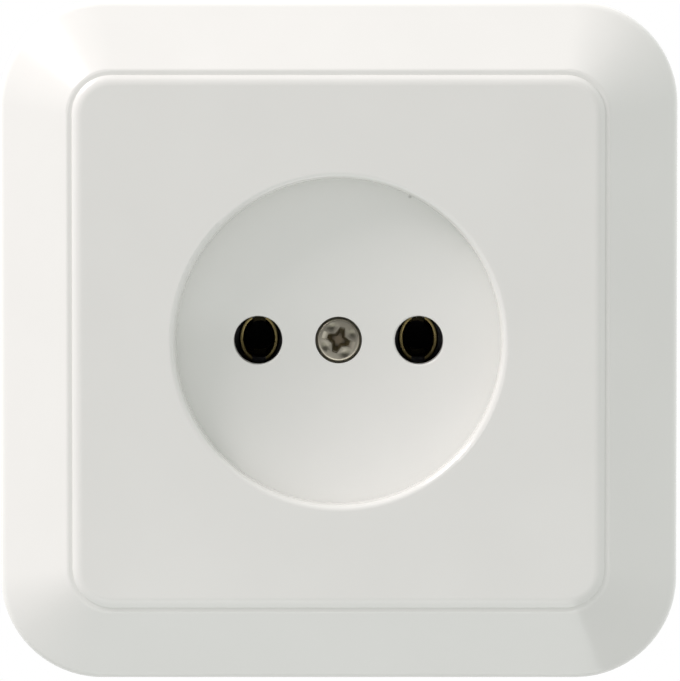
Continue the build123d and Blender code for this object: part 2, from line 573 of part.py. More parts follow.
def claw():
    """Right-hand claw: knuckle, lever with a long hole, arm and toothed tip."""
    tilt = radians(LEVER_TILT)
    lean = radians(90 + ARM_LEAN)
    out = radians(90 + ARM_LEAN - TIP_TURN)
    pin = Vector(CLAW_PIN_X, CLAW_PIN_DEPTH)
    heel = pin + Vector(LEVER_REACH, LEVER_REACH * tan(tilt))
    wrist = heel + Vector(ARM_LENGTH * cos(lean), ARM_LENGTH * sin(lean))
    tip = wrist + Vector(TIP_REACH * cos(out), TIP_REACH * sin(out))
    section = Pos(pin.X, pin.Y) * Circle(KNUCKLE)
    for start, end in ((pin, heel), (heel, wrist), (wrist, tip)):
        section += bar(start, end, CLAW_SHEET)
    section -= Pos(pin.X, pin.Y) * Circle(CLAW_BORE)
    half = CLAW_WIDTH / 2
    body = extrude(Pos(0, 0, -half) * section, CLAW_WIDTH)
    # the arm narrows towards its tip
    far = tip.Y + TIP_REACH
    taper = make_face(Polyline(
        (heel.Y + CLAW_SHEET, half), (wrist.Y, half - CLAW_TAPER), (far, half - CLAW_TAPER), (far, half),
        close=True,
    ))
    cut = extrude(Plane.YZ.offset(heel.X - LEVER_REACH) * taper, 2 * LEVER_REACH)
    body -= cut
    body -= mirror(cut, Plane.XY)
    # teeth along the tip's edge
    side = TOOTH_PITCH * NOTCH_SHARE
    for index in range(1, TOOTH_COUNT):
        z = index * TOOTH_PITCH - CLAW_TIP_WIDTH / 2
        notch = Rot(0, 0, degrees(out)) * Rot(90, 0, 0) * make_face(Polyline(
            (TOOTH_DEPTH, -side), (TOOTH_DEPTH, side), (-TOOTH_DEPTH, 0), close=True,
        ))
        body -= Pos(tip.X, tip.Y, z) * extrude(notch, CLAW_SHEET, both=True)
    # the long hole clears the screw over the whole swing
    radius = THREAD / 2 + LEVER_GAP
    near = sqrt((CLAW_SCREW_REACH - radius) ** 2 - (CLAW_SHEET / 2) ** 2)
    far = (CLAW_SCREW_REACH + radius) / cos(tilt) + CLAW_SHEET / 2 * tan(tilt)
    hole = Pos((near + far) / 2, 0) * SlotOverall(far - near, 2 * radius)
    hole = extrude(Rot(90, 0, 0) * hole, CLAW_SHEET, both=True)
    return body - Pos(pin.X, pin.Y) * Rot(0, 0, LEVER_TILT) * hole


def claw_pin():
    """Right-hand hinge pin, headed over at both ends."""
    length = 2 * EAR_OUT
    body = Cylinder(CLAW_PIN / 2, length)
    for side in (-1, 1):
        z = side * (EAR_OUT + CLAW_PIN_HEAD_HEIGHT / 2)
        body += Pos(0, 0, z) * Cylinder(CLAW_PIN_HEAD / 2, CLAW_PIN_HEAD_HEIGHT)
    return Pos(CLAW_PIN_X, CLAW_PIN_DEPTH) * body


def claw_screw(side):
    """Screw whose head stands on the bracket's front and which draws the lever forward."""
    length = CLAW_SCREW_END + BRACKET
    body = screw(THREAD, length, CLAW_SCREW_HEAD, CLAW_SCREW_HEAD_HEIGHT, -BRACKET)
    return Pos(side * CLAW_SCREW_X, 0, 0) * body


def all_nodes():
    """Every piece by its node's name."""
    nodes = {
        "cover_frame": cover_frame(),
        "cover_plate": cover_plate(),
        "cover_screw": screw(
            THREAD, NUT_BACK + TIP_PAST_NUT - HEAD_SEAT, HEAD, HEAD_HEIGHT, HEAD_SEAT, DRIVE_TURN, True
        ),
        "cover_screw_nut": square_nut(),
        "socket_base": socket_base(),
        "rear_cover": rear_cover(),
        "mounting_bracket": mounting_bracket(),
    }
    for name, up in (("top", 1), ("bottom", -1)):
        nodes[f"rear_cover_screw_{name}"] = rear_cover_screw(up * REAR_SCREW_Z)
        nodes[f"bracket_rivet_{name}"] = bracket_rivet(up * RIVET_Z)
    right_claw = claw()
    right_pin = claw_pin()
    for name, side in (("left", -1), ("right", 1)):
        x = side * PIN_X
        nodes[f"contact_{name}"] = contact(x)
        nodes[f"contact_spring_{name}"] = contact_spring(x)
        for level, up in (("top", 1), ("bottom", -1)):
            nodes[f"terminal_clamp_{name}_{level}"] = terminal_clamp(x, up * TERMINAL_Z)
            nodes[f"terminal_screw_{name}_{level}"] = terminal_screw(x, up * TERMINAL_Z)
        nodes[f"claw_{name}"] = right_claw if side > 0 else mirror(right_claw, Plane.YZ)
        nodes[f"claw_pin_{name}"] = right_pin if side > 0 else mirror(right_pin, Plane.YZ)
        nodes[f"claw_screw_{name}"] = claw_screw(side)
    return nodes


os.makedirs("parts", exist_ok=True)
for node, shape in all_nodes().items():
    export_step(shape, f"parts/{node}.step")
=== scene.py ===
# %% [markdown]
# # A flush wall socket, dressed in Blender
# The socket is a white cover on a steel bracket, with a black base behind it that holds the live parts.
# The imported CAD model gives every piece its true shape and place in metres, so this lesson never moves
# one. It gives each piece the finish of the real material, cuts the screw threads that the solids leave
# out, and sets up a small studio around the part.

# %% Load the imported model
import json
import math

import bmesh
import bpy
from mathutils import Matrix, Vector

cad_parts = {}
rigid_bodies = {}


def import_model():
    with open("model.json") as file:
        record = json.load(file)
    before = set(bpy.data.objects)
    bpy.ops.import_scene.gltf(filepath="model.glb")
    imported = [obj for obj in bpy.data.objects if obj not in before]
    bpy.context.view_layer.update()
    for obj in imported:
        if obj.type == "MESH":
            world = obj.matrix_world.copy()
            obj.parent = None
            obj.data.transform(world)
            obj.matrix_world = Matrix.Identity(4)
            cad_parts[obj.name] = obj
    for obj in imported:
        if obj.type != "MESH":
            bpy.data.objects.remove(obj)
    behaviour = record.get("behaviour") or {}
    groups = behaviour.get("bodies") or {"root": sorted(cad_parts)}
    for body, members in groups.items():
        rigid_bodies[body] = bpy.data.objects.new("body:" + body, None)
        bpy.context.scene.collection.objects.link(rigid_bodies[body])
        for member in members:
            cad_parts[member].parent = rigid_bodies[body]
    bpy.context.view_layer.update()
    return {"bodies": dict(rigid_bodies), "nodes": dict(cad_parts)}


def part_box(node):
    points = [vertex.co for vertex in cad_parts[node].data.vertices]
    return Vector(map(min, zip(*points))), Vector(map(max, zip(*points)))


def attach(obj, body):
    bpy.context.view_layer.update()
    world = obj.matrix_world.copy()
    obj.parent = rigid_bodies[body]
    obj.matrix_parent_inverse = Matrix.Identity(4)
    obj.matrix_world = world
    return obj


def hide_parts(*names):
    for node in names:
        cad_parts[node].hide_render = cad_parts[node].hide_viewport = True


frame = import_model()
nodes = frame["nodes"]
scene = bpy.context.scene
MM = 0.001

# %% [markdown]
# ## The camera
# The photograph looks at the cover from straight ahead and a touch from above, from seven or eight times
# its width away. A long lens at that distance gives the same slight perspective: the floor of the dish
# lies a little higher in the picture than the face in front of it.

# %% Camera
VIEW_DISTANCE = 600 * MM
VIEW_WIDTH = 80.35 * MM
VIEW_RISE = math.radians(2.2)
SENSOR_WIDTH = 36.0
aim = Vector((0.17, -4.0, -0.05)) * MM

lens = bpy.data.cameras.new("studio_camera")
lens.sensor_fit = "HORIZONTAL"
lens.sensor_width = SENSOR_WIDTH
lens.lens = SENSOR_WIDTH * VIEW_DISTANCE / VIEW_WIDTH
camera = bpy.data.objects.new("studio_camera", lens)
camera.location = aim + VIEW_DISTANCE * Vector((0, -math.cos(VIEW_RISE), math.sin(VIEW_RISE)))
camera.rotation_euler = (aim - camera.location).to_track_quat("-Z", "Y").to_euler()
scene.collection.objects.link(camera)
scene.camera = camera
scene.view_settings.view_transform = "Standard"
print("lens", round(lens.lens, 1), "mm at", VIEW_DISTANCE, "m")

# %% [markdown]
# ## Small helpers for shader nodes
# Every finish below is a node tree. One function adds a node and fills its sockets, with a number, a
# colour or the output of another node, so that a finish reads like a recipe.

# %% Node helpers
# where a Mix node keeps its colour sockets, because it uses their names for other kinds too
MIX_FIRST = 6
MIX_SECOND = 7
MIX_RESULT = 2


def fill(tree, socket, value):
    """Joins a socket to another node's output, or sets its plain value."""
    if isinstance(value, bpy.types.NodeSocket):
        tree.links.new(value, socket)
    else:
        socket.default_value = value


def put(tree, kind, settings=None, **values):
    """Adds one node. An underscore in a socket's name stands for a space."""
    node = tree.nodes.new(kind)
    for name, value in (settings or {}).items():
        setattr(node, name, value)
    for name, value in values.items():
        fill(tree, node.inputs[name.replace("_", " ")], value)
    return node


def sums(tree, operation, *values):
    """One Math node on the given values."""
    node = put(tree, "ShaderNodeMath", {"operation": operation})
    for place, value in enumerate(values):
        fill(tree, node.inputs[place], value)
    return node.outputs[0]


def ranged(tree, value, low, high, to_low, to_high):
    """A value moved from one range to another, without leaving it."""
    node = put(tree, "ShaderNodeMapRange", Value=value, From_Min=low, From_Max=high)
    node.inputs["To Min"].default_value = to_low
    node.inputs["To Max"].default_value = to_high
    return node.outputs["Result"]


def blended(tree, share, first, second):
    """One colour going over to another by a mask."""
    node = put(tree, "ShaderNodeMix", {"data_type": "RGBA"})
    fill(tree, node.inputs["Factor"], share)
    fill(tree, node.inputs[MIX_FIRST], first)
    fill(tree, node.inputs[MIX_SECOND], second)
    return node.outputs[MIX_RESULT]


def colour(red, green, blue):
    """A colour with full opacity, in linear light."""
    return (red, green, blue, 1.0)


# %% [markdown]
# ## Effects that several finishes share
# Moulded plastic has a faint orange-peel skin, slow changes of tone and a few specks of dust. Plated
# metal has fine scratches and cloudy patches, and both can be rubbed along their edges. A vertex mask
# could hold the edges, but the Bevel node finds them on any mesh: where its rounded normal leaves the
# true one, an edge is near. Each effect is one node group, built once and set to its own scale in each
# finish.

# %% Shared surface effects
# specks: the share of cells that hold one, and the largest one's size in a cell
SPECK_CHANCE = 0.06
SPECK_SIZE = 0.035
# scratches: stretch and turn of each run
SCRATCH_RUNS = ((9.0, 0.5), (7.0, -0.9))
# bands of the noise that go over from none to full
MOTTLE_BAND = (0.3, 0.7)
CLOUD_BAND = (0.35, 0.65)
PATCH_BAND = (0.35, 0.6)
PATCH_LEAST = 0.25
# wear: how far the two normals part where it starts and where it is full
WEAR_START = 0.004
WEAR_FULL = 0.1


def new_group(name, numbers, results):
    """An empty shader group with number inputs and value outputs."""
    group = bpy.data.node_groups.new(name, "ShaderNodeTree")
    for label, value in numbers.items():
        socket = group.interface.new_socket(label, in_out="INPUT", socket_type="NodeSocketFloat")
        socket.default_value = value
    for label in results:
        group.interface.new_socket(label, in_out="OUTPUT", socket_type="NodeSocketFloat")
    return group, group.nodes.new("NodeGroupInput"), group.nodes.new("NodeGroupOutput")


def moulded_skin():
    """Orange peel, slow mottling and specks of dust, on Object coordinates."""
    scales = {"Peel Scale": 900.0, "Mottle Scale": 70.0, "Speck Scale": 160.0}
    group, given, result = new_group("moulded_skin", scales, ["Peel", "Mottle", "Speck"])
    place = put(group, "ShaderNodeTexCoord").outputs["Object"]
    peel = put(group, "ShaderNodeTexNoise", Vector=place, Scale=given.outputs["Peel Scale"], Detail=3.0)
    mottle = put(group, "ShaderNodeTexNoise", Vector=place, Scale=given.outputs["Mottle Scale"], Detail=4.0)
    speck = put(group, "ShaderNodeTexVoronoi", Vector=place, Scale=given.outputs["Speck Scale"])
    chance = put(group, "ShaderNodeSeparateColor", Color=speck.outputs["Color"])
    size = ranged(group, chance.outputs["Red"], 1 - SPECK_CHANCE, 1.0, 0.0, SPECK_SIZE)
    inside = sums(group, "LESS_THAN", speck.outputs["Distance"], size)
    group.links.new(peel.outputs["Fac"], result.inputs["Peel"])
    group.links.new(ranged(group, mottle.outputs["Fac"], *MOTTLE_BAND, 0.0, 1.0), result.inputs["Mottle"])
    group.links.new(inside, result.inputs["Speck"])
    return group


def plated_metal():
    """Fine scratches that run two ways and cloudy patches of duller plating."""
    scales = {"Scratch Scale": 1500.0, "Cloud Scale": 250.0}
    group, given, result = new_group("plated_metal", scales, ["Scratch", "Cloud"])
    place = put(group, "ShaderNodeTexCoord").outputs["Object"]
    runs = []
    for stretch, turn in SCRATCH_RUNS:
        turned = put(group, "ShaderNodeMapping", Vector=place, Rotation=(turn, turn, turn),
                     Scale=(1.0, 1.0, 1 / stretch))
        run = put(group, "ShaderNodeTexNoise", Vector=turned.outputs[0],
                  Scale=given.outputs["Scratch Scale"], Detail=2.0)
        runs.append(run.outputs["Fac"])
    cloud = put(group, "ShaderNodeTexNoise", Vector=place, Scale=given.outputs["Cloud Scale"], Detail=5.0)
    group.links.new(sums(group, "MULTIPLY", *runs), result.inputs["Scratch"])
    group.links.new(ranged(group, cloud.outputs["Fac"], *CLOUD_BAND, 0.0, 1.0), result.inputs["Cloud"])
    return group


def edge_wear():
    """A patchy mask along edges."""
    group, given, result = new_group("edge_wear", {"Width": 0.25 * MM, "Patch Scale": 900.0}, ["Wear"])
    place = put(group, "ShaderNodeTexCoord").outputs["Object"]
    rounded = put(group, "ShaderNodeBevel", {"samples": 4}, Radius=given.outputs["Width"])
    likeness = put(group, "ShaderNodeVectorMath", {"operation": "DOT_PRODUCT"})
    fill(group, likeness.inputs[0], rounded.outputs[0])
    fill(group, likeness.inputs[1], put(group, "ShaderNodeNewGeometry").outputs["Normal"])
    unlike = sums(group, "SUBTRACT", 1.0, likeness.outputs["Value"])
    near = ranged(group, unlike, WEAR_START, WEAR_FULL, 0.0, 1.0)
    patch = put(group, "ShaderNodeTexNoise", Vector=place, Scale=given.outputs["Patch Scale"], Detail=3.0)
    share = ranged(group, patch.outputs["Fac"], *PATCH_BAND, PATCH_LEAST, 1.0)
    group.links.new(sums(group, "MULTIPLY", near, share), result.inputs["Wear"])
    return group


SKIN = moulded_skin()
PLATING = plated_metal()
WEAR = edge_wear()
print("shared effects:", [group.name for group in bpy.data.node_groups])

# %% [markdown]
# ## Finishes
# A finish starts from the Principled shader. Its plain numbers are set on the shader's own sockets, and
# only what changes over the surface comes in through links, so that the finish survives an export.

# %% Finish helpers
PEEL_DEPTH = 0.02 * MM
SCRATCH_DEPTH = 0.01 * MM


def new_finish(name, **constants):
    """A material whose Principled shader has the given plain values."""
    finish = bpy.data.materials.new(name)
    finish.use_nodes = True
    tree = finish.node_tree
    shader = tree.nodes["Principled BSDF"]
    for label, value in constants.items():
        shader.inputs[label.replace("_", " ")].default_value = value
    return finish, tree, shader


def effect(tree, group, **numbers):
    """A shared effect, placed with this finish's own numbers."""
    node = put(tree, "ShaderNodeGroup", {"node_tree": group})
    for label, value in numbers.items():
        node.inputs[label.replace("_", " ")].default_value = value
    return node.outputs


def roughen(tree, shader, height, strength, distance):
    """Bump on the shader's normal."""
    bump = put(tree, "ShaderNodeBump", Height=height, Strength=strength, Distance=distance)
    tree.links.new(bump.outputs["Normal"], shader.inputs["Normal"])


def moulding(name, pale, dark, speck, smooth, rough, peel, peel_scale, shine=0.5):
    """Moulded plastic: two near tones, a gloss that changes a little and an orange-peel skin."""
    finish, tree, shader = new_finish(name, IOR=1.5, Specular_IOR_Level=shine)
    skin = effect(tree, SKIN, Peel_Scale=peel_scale)
    tone = blended(tree, skin["Mottle"], pale, dark)
    fill(tree, shader.inputs["Base Color"], blended(tree, skin["Speck"], tone, speck))
    fill(tree, shader.inputs["Roughness"], ranged(tree, skin["Mottle"], 0, 1, smooth, rough))
    roughen(tree, shader, skin["Peel"], peel, PEEL_DEPTH)
    return finish, tree, shader


def metal(name, bright, dull, smooth, rough, scratch):
    """Bare or plated metal: bright and dull patches, with fine scratches."""
    finish, tree, shader = new_finish(name, Metallic=1.0)
    plating = effect(tree, PLATING)
    fill(tree, shader.inputs["Base Color"], blended(tree, plating["Cloud"], bright, dull))
    fill(tree, shader.inputs["Roughness"], ranged(tree, plating["Cloud"], 0, 1, smooth, rough))
    roughen(tree, shader, plating["Scratch"], scratch, SCRATCH_DEPTH)
    return finish, tree, shader


def overlay(tree, shader, share, tint):
    """Lays another colour over the finish where a mask is one."""
    below = shader.inputs["Base Color"].links[0].from_socket
    fill(tree, shader.inputs["Base Color"], blended(tree, share, below, tint))


def rubbed(made, tint, width):
    """Rubs the edges of a finish to another colour."""
    _, tree, shader = made
    overlay(tree, shader, effect(tree, WEAR, Width=width)["Wear"], tint)


def off_axis(tree, axes):
    """How far a point lies from the Y axis."""
    squares = sums(tree, "ADD", sums(tree, "POWER", axes["X"], 2), sums(tree, "POWER", axes["Z"], 2))
    return sums(tree, "SQRT", squares)


# %% [markdown]
# ## The plastics
# The cover is a glossy white moulding with a warm tint. The gap around its screw is darkened by grime and
# painted shade, the deeper the more, and one spot of dust sits under the dish's rim. Both have their place
# on the moulding, so their masks are distances in Object coordinates. The base is black nylon with a
# duller skin, and its edges have gone grey where they were handled.

# %% Plastics
NYLON_RUB_WIDTH = 0.3 * MM
white_moulding = moulding("white_moulding", colour(0.795, 0.806, 0.766), colour(0.775, 0.786, 0.746),
                          speck=colour(0.3, 0.25, 0.2), smooth=0.16, rough=0.22, peel=0.1, peel_scale=700.0)
black_nylon = moulding("black_nylon", colour(0.014, 0.014, 0.015), colour(0.026, 0.026, 0.028),
                       speck=colour(0.1, 0.1, 0.1), smooth=0.42, rough=0.56, peel=0.5, peel_scale=2200.0,
                       shine=0.3)
rubbed(black_nylon, colour(0.075, 0.075, 0.078), NYLON_RUB_WIDTH)

POCKET_RADIUS = 2.8 * MM
POCKET_MOUTH = -3.78 * MM
GRIME_AND_SHADE_START = POCKET_MOUTH + 0.1 * MM
GRIME_AND_SHADE_FULL = POCKET_MOUTH + 0.7 * MM
GRIME_AND_SHADE_TINT = colour(0.5, 0.475, 0.36)
DUST_SPOT = Vector((8.39, -6.76, 16.95)) * MM
DUST_CORE = 0.1 * MM
DUST_EDGE = 0.26 * MM
DUST_SHARE = 0.5
DUST_TINT = colour(0.3, 0.29, 0.26)
_, tree, shader = white_moulding
place = put(tree, "ShaderNodeTexCoord").outputs["Object"]
axes = put(tree, "ShaderNodeSeparateXYZ", Vector=place).outputs
# grime and painted shade: below its mouth the pocket round the screw is painted darker, the deeper the more
in_pocket = sums(tree, "LESS_THAN", off_axis(tree, axes), POCKET_RADIUS)
grime_and_shade = sums(tree, "MULTIPLY", ranged(tree, axes["Y"], GRIME_AND_SHADE_START, GRIME_AND_SHADE_FULL, 0.0, 1.0), in_pocket)
spot = put(tree, "ShaderNodeVectorMath", {"operation": "DISTANCE"})
fill(tree, spot.inputs[0], place)
fill(tree, spot.inputs[1], DUST_SPOT)
overlay(tree, shader, grime_and_shade, GRIME_AND_SHADE_TINT)
dust = ranged(tree, spot.outputs["Value"], DUST_CORE, DUST_EDGE, DUST_SHARE, 0.0)
overlay(tree, shader, dust, DUST_TINT)
print("plastics:", white_moulding[0].name, black_nylon[0].name)

# %% [markdown]
# ## The metals
# The contacts are brass strip that has gone a little olive. Inside the chambers the brass carries painted
# shade, darker the deeper it lies. Springs of dark steel hold them together. Bracket and claws are stamped
# from zinc-plated sheet, whose sheared edges are brighter than its spangled faces. The screws behind the
# cover are bright zinc.

# %% Metals
METAL_RUB_WIDTH = 0.2 * MM
brass_strip = metal("brass_strip", colour(0.78, 0.62, 0.26), colour(0.58, 0.46, 0.18),
                    smooth=0.2, rough=0.36, scratch=0.3)
dark_spring = metal("dark_spring_steel", colour(0.17, 0.17, 0.175), colour(0.1, 0.1, 0.105),
                    smooth=0.28, rough=0.42, scratch=0.3)
zinc_sheet = metal("stamped_zinc_steel", colour(0.62, 0.63, 0.64), colour(0.48, 0.49, 0.5),
                   smooth=0.26, rough=0.42, scratch=0.5)
bright_zinc = metal("bright_zinc", colour(0.66, 0.66, 0.67), colour(0.52, 0.53, 0.54),
                    smooth=0.2, rough=0.36, scratch=0.4)
for made, tint in ((brass_strip, colour(0.78, 0.64, 0.34)), (zinc_sheet, colour(0.82, 0.82, 0.82)),
                   (bright_zinc, colour(0.85, 0.85, 0.85))):
    rubbed(made, tint, METAL_RUB_WIDTH)

CHAMBER_HALF = 5 * MM
CHAMBER_SHADE_DEPTH = 6 * MM
CHAMBER_SHADE_AT_MOUTH = 0.1
CHAMBER_SHADE_TINT = colour(0.05, 0.042, 0.022)
_, tree, shader = brass_strip
place = put(tree, "ShaderNodeTexCoord").outputs["Object"]
axes = put(tree, "ShaderNodeSeparateXYZ", Vector=place).outputs
# painted shade: the brass inside the chambers is painted darker, the deeper it lies
inside = sums(tree, "LESS_THAN", sums(tree, "ABSOLUTE", axes["Z"]), CHAMBER_HALF)
deeper = ranged(tree, axes["Y"], 0.0, CHAMBER_SHADE_DEPTH, CHAMBER_SHADE_AT_MOUTH, 1.0)
overlay(tree, shader, sums(tree, "MULTIPLY", inside, deeper), CHAMBER_SHADE_TINT)
print("metals:", [made[0].name for made in (brass_strip, dark_spring, zinc_sheet, bright_zinc)])

# %% [markdown]
# ## The cover screw
# This screw is in plain view, and it has been turned before. Its nickel is warm, and the cross recess is
# brown with old dirt and painted shade, darker the deeper it goes. The middle of the recess floor is
# lighter, and the dimples carry a painted dark reflection. All of these follow from the place on the
# head, so the masks are worked out from Object coordinates: how deep a point lies below the head's top,
# and how far it is from a dimple, after the recess's own turn is taken back.

# %% Cover screw finish
DRIVE_TURN = math.radians(19.0)
DIMPLE_RING = 1.82 * MM
DIMPLE_WIDE = 0.36 * MM
DIMPLE_LONG = 0.66 * MM
DIMPLE_CORE = 0.2
DIMPLE_FADE = 1.3
DIMPLE_SHADE_SHARE = 0.62
DIMPLE_SHADE_TINT = colour(0.18, 0.175, 0.125)
RECESS_DEPTH = 1.08 * MM
RECESS_BOTTOM = 1.1 * RECESS_DEPTH
RECESS_REACH = 1.7 * MM
DIRT_AND_SHADE_START = 0.1 * RECESS_DEPTH
DIRT_AND_SHADE_FULL = 0.35 * RECESS_DEPTH
DIRT_AND_SHADE_TINT = colour(0.06, 0.047, 0.019)
FLOOR_MIDDLE_START = 0.8 * RECESS_DEPTH
FLOOR_MIDDLE_CORE = 0.35 * MM
FLOOR_MIDDLE_EDGE = 0.85 * MM
FLOOR_MIDDLE_TINT = colour(0.21, 0.165, 0.1)
head_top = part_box("cover_screw")[0].y
worn_nickel = metal("worn_nickel", colour(0.52, 0.49, 0.4), colour(0.38, 0.355, 0.285),
                    smooth=0.3, rough=0.44, scratch=0.4)
_, tree, shader = worn_nickel
place = put(tree, "ShaderNodeTexCoord").outputs["Object"]
turned = put(tree, "ShaderNodeMapping", Vector=place, Rotation=(0, -DRIVE_TURN, 0)).outputs[0]
folded = put(tree, "ShaderNodeVectorMath", {"operation": "ABSOLUTE"}, Vector=turned).outputs[0]
axes = put(tree, "ShaderNodeSeparateXYZ", Vector=folded).outputs
diagonal = math.sqrt(0.5)
outwards = sums(tree, "MULTIPLY", sums(tree, "ADD", axes["X"], axes["Z"]), diagonal)
sideways = sums(tree, "MULTIPLY", sums(tree, "SUBTRACT", axes["X"], axes["Z"]), diagonal)
long_way = sums(tree, "DIVIDE", sideways, DIMPLE_LONG)
short_way = sums(tree, "DIVIDE", sums(tree, "SUBTRACT", outwards, DIMPLE_RING), DIMPLE_WIDE)
oval = sums(tree, "ADD", sums(tree, "POWER", long_way, 2), sums(tree, "POWER", short_way, 2))
# painted dark reflection: each dimple is painted darker towards its middle
dimple_shade = ranged(tree, oval, DIMPLE_CORE, DIMPLE_FADE, DIMPLE_SHADE_SHARE, 0.0)
overlay(tree, shader, dimple_shade, DIMPLE_SHADE_TINT)

depth = sums(tree, "SUBTRACT", put(tree, "ShaderNodeSeparateXYZ", Vector=place).outputs["Y"], head_top)
radius = off_axis(tree, axes)
in_recess = sums(tree, "MULTIPLY", sums(tree, "LESS_THAN", radius, RECESS_REACH),
                 sums(tree, "LESS_THAN", depth, RECESS_BOTTOM))
# dirt and painted shade: the cross recess is painted darker, the deeper it goes
dirt_and_shade = sums(tree, "MULTIPLY", in_recess, ranged(tree, depth, DIRT_AND_SHADE_START, DIRT_AND_SHADE_FULL, 0.0, 1.0))
# the middle of the recess floor is lighter than the rest of the recess
on_floor = sums(tree, "MULTIPLY", ranged(tree, radius, FLOOR_MIDDLE_CORE, FLOOR_MIDDLE_EDGE, 1.0, 0.0),
                ranged(tree, depth, FLOOR_MIDDLE_START, RECESS_DEPTH, 0.0, 1.0))
lighter_floor_middle = sums(tree, "MULTIPLY", in_recess, on_floor)
overlay(tree, shader, dirt_and_shade, DIRT_AND_SHADE_TINT)
overlay(tree, shader, lighter_floor_middle, FLOOR_MIDDLE_TINT)
fill(tree, shader.inputs["Metallic"], sums(tree, "SUBTRACT", 1.0, dirt_and_shade))
print("cover screw head's top at", round(head_top / MM, 2), "mm")

# %% [markdown]
# ## Finishes on the pieces
# Every piece came with a plain material that names its kind, and the finish of that kind takes the
# material's place. The threaded screws below take their finish over from the solid. The finishes read
# Object coordinates, so no piece needs unwrapping.

# %% Finishes on the pieces
finishes = {
    "white_plastic": white_moulding,
    "black_plastic": black_nylon,
    "brass": brass_strip,
    "spring_steel": dark_spring,
    "bracket_steel": zinc_sheet,
    "nickel_screw": worn_nickel,
    "zinc_fasteners": bright_zinc,
}
for name, node in nodes.items():
    slot = node.material_slots[0]
    slot.material = finishes[slot.material.name][0]
print("finishes:", sorted(made[0].name for made in finishes.values()))

# %% [markdown]
# ## Screw threads
# The solids have plain shanks, because a modelled thread is only weight in a contact check. On the real
# screws the thread is rolled: a ridge with a narrow crest that winds round the shank. A thread could be a
# swept profile, but four lines are all it has: both sides of the crest and both sides of the root. So the
# Geometry Nodes tree takes a flat grid with four rows for each turn and winds it round the shank, every
# row climbing one pitch in a turn. Rows before the head and past the tip are held at the ends, and
# merging them leaves clean rings there.

# %% Thread tree
LINES_PER_TURN = 4
CREST_SHARE = 1 / 8
FLANK_SHARE = 5 / 16
ROOT_SHARE = 1 / 4
DEPTH_SHARE = 0.6134
TIP_CHAMFER_SHARE = 0.17
WELD = 0.002 * MM


def thread_tree():
    """A right-hand thread along +Y from the origin, as a grid wound round the axis."""
    tree = bpy.data.node_groups.new("wound_thread", "GeometryNodeTree")
    sockets = tree.interface
    for label in ("Radius", "Pitch", "Length", "Start"):
        sockets.new_socket(label, in_out="INPUT", socket_type="NodeSocketFloat")
    for label in ("Sides", "Rows"):
        sockets.new_socket(label, in_out="INPUT", socket_type="NodeSocketInt")
    sockets.new_socket("Finish", in_out="INPUT", socket_type="NodeSocketMaterial")
    sockets.new_socket("Thread", in_out="OUTPUT", socket_type="NodeSocketGeometry")
    given = tree.nodes.new("NodeGroupInput").outputs
    radius, pitch, length, sides, rows = (given[n] for n in ("Radius", "Pitch", "Length", "Sides", "Rows"))
    steps = sums(tree, "SUBTRACT", rows, 1)
    grid = put(tree, "GeometryNodeMeshGrid", Size_X=sides, Size_Y=steps,
               Vertices_X=sums(tree, "ADD", sides, 1), Vertices_Y=rows)
    position = tree.nodes.new("GeometryNodeInputPosition").outputs[0]
    spot = put(tree, "ShaderNodeSeparateXYZ", Vector=position).outputs
    around = sums(tree, "DIVIDE", sums(tree, "ADD", spot["X"], sums(tree, "DIVIDE", sides, 2)), sides)
    row = sums(tree, "ROUND", sums(tree, "ADD", spot["Y"], sums(tree, "DIVIDE", steps, 2)))
    turn = sums(tree, "FLOOR", sums(tree, "DIVIDE", row, LINES_PER_TURN))
    line = sums(tree, "SUBTRACT", row, sums(tree, "MULTIPLY", turn, LINES_PER_TURN))
    # lines 0 and 1 bound the crest, lines 2 and 3 the root, and each bound lies between two lines
    in_root = sums(tree, "GREATER_THAN", line, 1.5)
    rise = sums(tree, "ADD", sums(tree, "SUBTRACT", turn, 1), around)
    for bound, share in ((0.5, CREST_SHARE), (1.5, FLANK_SHARE), (2.5, ROOT_SHARE)):
        past = sums(tree, "GREATER_THAN", line, bound)
        rise = sums(tree, "ADD", rise, sums(tree, "MULTIPLY", past, share))
    along = sums(tree, "MINIMUM", sums(tree, "MAXIMUM", sums(tree, "MULTIPLY", rise, pitch), 0), length)
    fade = sums(tree, "MINIMUM", sums(tree, "DIVIDE", along, pitch), 1)
    full_cut = sums(tree, "MULTIPLY", pitch, DEPTH_SHARE)
    cut = sums(tree, "MULTIPLY", full_cut, sums(tree, "MULTIPLY", in_root, fade))
    chamfer = sums(tree, "MULTIPLY", radius, 2 * TIP_CHAMFER_SHARE)
    cone = sums(tree, "ADD", sums(tree, "SUBTRACT", radius, chamfer), sums(tree, "SUBTRACT", length, along))
    distance = sums(tree, "MINIMUM", sums(tree, "SUBTRACT", radius, cut), cone)
    angle = sums(tree, "ADD", sums(tree, "MULTIPLY", around, 2 * math.pi), given["Start"])
    across = sums(tree, "MULTIPLY", distance, sums(tree, "SINE", angle))
    upwards = sums(tree, "MULTIPLY", distance, sums(tree, "COSINE", angle))
    place = put(tree, "ShaderNodeCombineXYZ", X=across, Y=along, Z=upwards)
    wound = put(tree, "GeometryNodeSetPosition", Geometry=grid.outputs["Mesh"], Position=place.outputs[0])
    closed = put(tree, "GeometryNodeMergeByDistance", Geometry=wound.outputs[0], Distance=WELD)
    whole = put(tree, "GeometryNodeRealizeInstances", Geometry=closed.outputs[0])
    dressed = put(tree, "GeometryNodeSetMaterial", Geometry=whole.outputs[0], Material=given["Finish"])
    put(tree, "NodeGroupOutput", Thread=dressed.outputs[0])
    return tree


